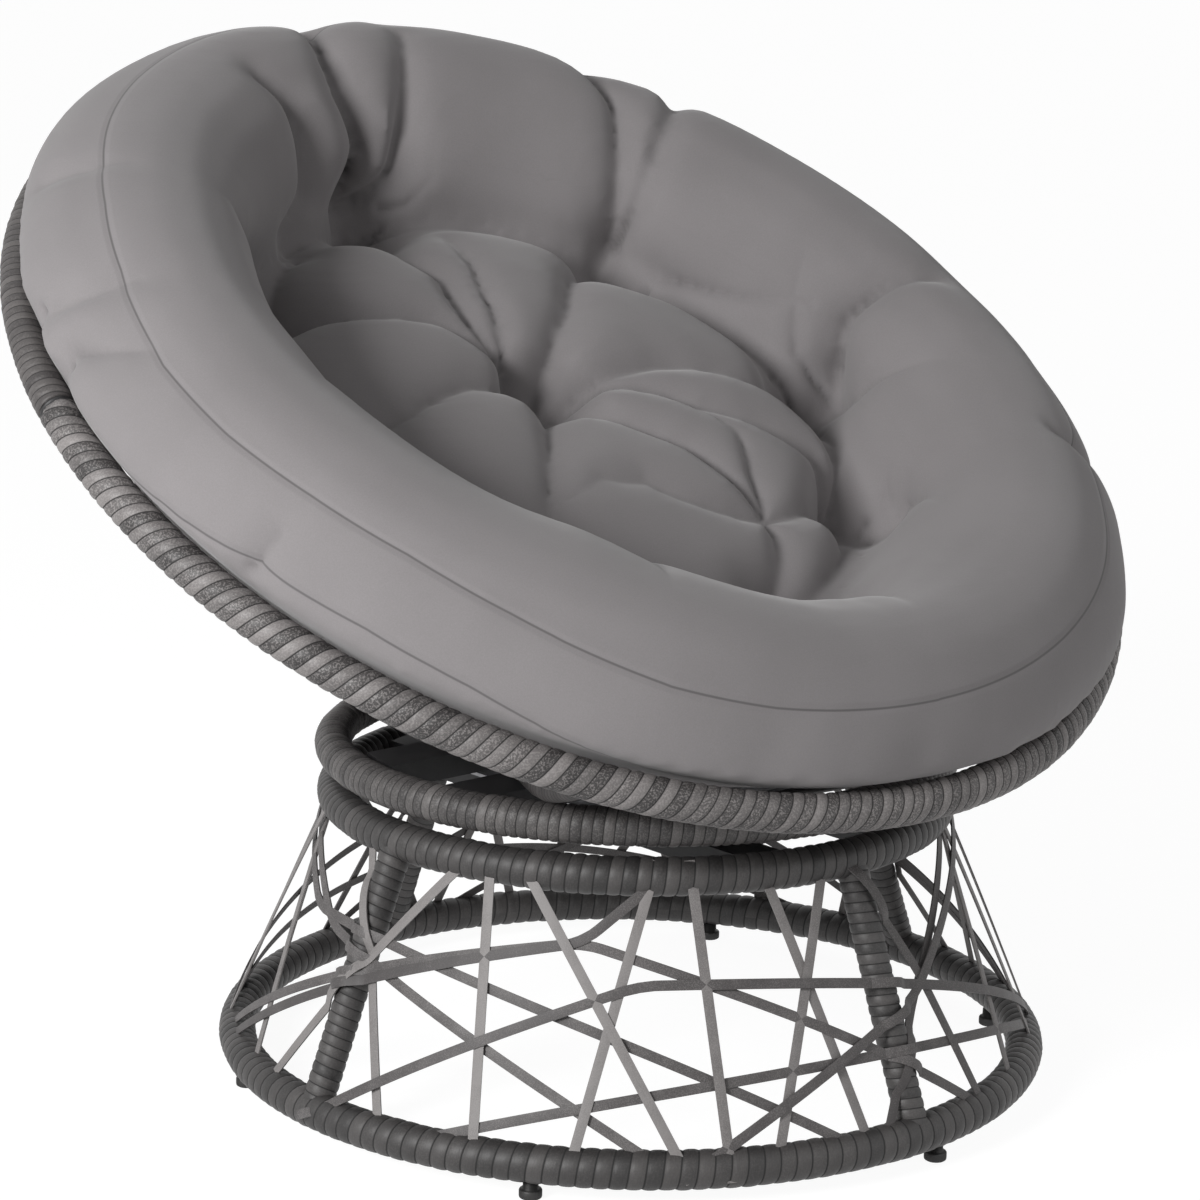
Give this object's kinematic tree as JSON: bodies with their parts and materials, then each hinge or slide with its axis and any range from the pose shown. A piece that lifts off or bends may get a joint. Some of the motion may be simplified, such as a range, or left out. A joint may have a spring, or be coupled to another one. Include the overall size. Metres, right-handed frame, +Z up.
{
  "type": "papasan chair",
  "caption": "Round swivelling papasan chair: cane-wound steel bowl frame with curved wires on a conical woven base, thick tufted cushion in the bowl, levelling feet.",
  "frame": {"origin": "on the floor, at the middle of the part's footprint; the swivel axis stands 81.3 mm in front of it", "axes": "the chair faces -Y, +X is to the right of someone who stands in front and looks at it, and +Z is up"},
  "size_m": [1.0392, 0.8944, 0.9036],
  "materials": {
    "wound_cane": "flat synthetic cane wound in slanted turns, dark warm grey with darker flecks",
    "flat_cane": "flat synthetic cane strip, mid grey with faint flecks",
    "painted_steel": "black powder coat",
    "zinc_steel": "zinc plated",
    "foot_rubber": "moulded black rubber, matt",
    "cushion_cloth": "plain grey outdoor cloth, matt"
  },
  "bodies": {
    "base": {"base_bottom_ring_tube": "painted_steel", "base_bottom_ring_wrap": "wound_cane", "base_top_ring_tube": "painted_steel", "base_top_ring_wrap": "wound_cane", "base_leg_1": "wound_cane", "base_leg_2": "wound_cane", "base_leg_3": "wound_cane", "base_leg_4": "wound_cane", "base_strip_weave": "flat_cane", "base_beam_1": "painted_steel", "base_beam_2": "painted_steel", "turntable_lower_plate": "zinc_steel", "lower_bolt_1": "zinc_steel", "lower_bolt_2": "zinc_steel", "lower_bolt_3": "zinc_steel", "lower_bolt_4": "zinc_steel"},
    "foot_1": {"levelling_foot_1": "foot_rubber"},
    "foot_2": {"levelling_foot_2": "foot_rubber"},
    "foot_3": {"levelling_foot_3": "foot_rubber"},
    "foot_4": {"levelling_foot_4": "foot_rubber"},
    "foot_5": {"levelling_foot_5": "foot_rubber"},
    "foot_6": {"levelling_foot_6": "foot_rubber"},
    "ball_ring": {"turntable_ball_ring": "zinc_steel"},
    "bowl": {"bowl_beam_1": "painted_steel", "bowl_beam_2": "painted_steel", "turntable_upper_plate": "zinc_steel", "upper_bolt_1": "zinc_steel", "upper_bolt_2": "zinc_steel", "upper_bolt_3": "zinc_steel", "upper_bolt_4": "zinc_steel", "support_ring_tube": "painted_steel", "support_ring_wrap": "wound_cane", "seat_rim_tube": "painted_steel", "seat_rim_wrap": "wound_cane", "back_rim_tube": "painted_steel", "back_rim_wrap": "wound_cane", "left_rim_collar": "painted_steel", "right_rim_collar": "painted_steel", "seat_crossbar": "wound_cane", "back_crossbar": "wound_cane", "seat_rib_left": "wound_cane", "seat_rib_right": "wound_cane", "back_rib_left": "wound_cane", "back_rib_right": "wound_cane", "seat_wire_1": "painted_steel", "seat_wire_2": "painted_steel", "seat_wire_3": "painted_steel", "seat_wire_4": "painted_steel", "seat_wire_5": "painted_steel", "seat_wire_6": "painted_steel", "seat_wire_7": "painted_steel", "back_wire_1": "painted_steel", "back_wire_2": "painted_steel", "back_wire_3": "painted_steel", "back_wire_4": "painted_steel"},
    "cushion": {"cushion": "cushion_cloth"}
  },
  "joints": [
    {"name": "swivel", "type": "hinge", "parent": "base", "child": "bowl", "pos_m": [0, -0.08123, 0.268], "axis": [0, 0, 1], "continuous": true},
    {"name": "ball_roll", "type": "hinge", "parent": "base", "child": "ball_ring", "pos_m": [0, -0.08123, 0.268], "axis": [0, 0, 1], "continuous": true},
    {"name": "cushion_lift", "type": "slide", "parent": "bowl", "child": "cushion", "axis": [0, -0.5135, 0.8581], "range_m": [0, 0.45]},
    {"name": "foot_screw_1", "type": "slide", "parent": "base", "child": "foot_1", "axis": [0, 0, -1], "range_m": [0, 0.008]},
    {"name": "foot_screw_2", "type": "slide", "parent": "base", "child": "foot_2", "axis": [0, 0, -1], "range_m": [0, 0.008]},
    {"name": "foot_screw_3", "type": "slide", "parent": "base", "child": "foot_3", "axis": [0, 0, -1], "range_m": [0, 0.008]},
    {"name": "foot_screw_4", "type": "slide", "parent": "base", "child": "foot_4", "axis": [0, 0, -1], "range_m": [0, 0.008]},
    {"name": "foot_screw_5", "type": "slide", "parent": "base", "child": "foot_5", "axis": [0, 0, -1], "range_m": [0, 0.008]},
    {"name": "foot_screw_6", "type": "slide", "parent": "base", "child": "foot_6", "axis": [0, 0, -1], "range_m": [0, 0.008]}
  ],
  "couplings": [
    {"joint": "ball_roll", "follows": "swivel", "ratio": 0.5}
  ]
}
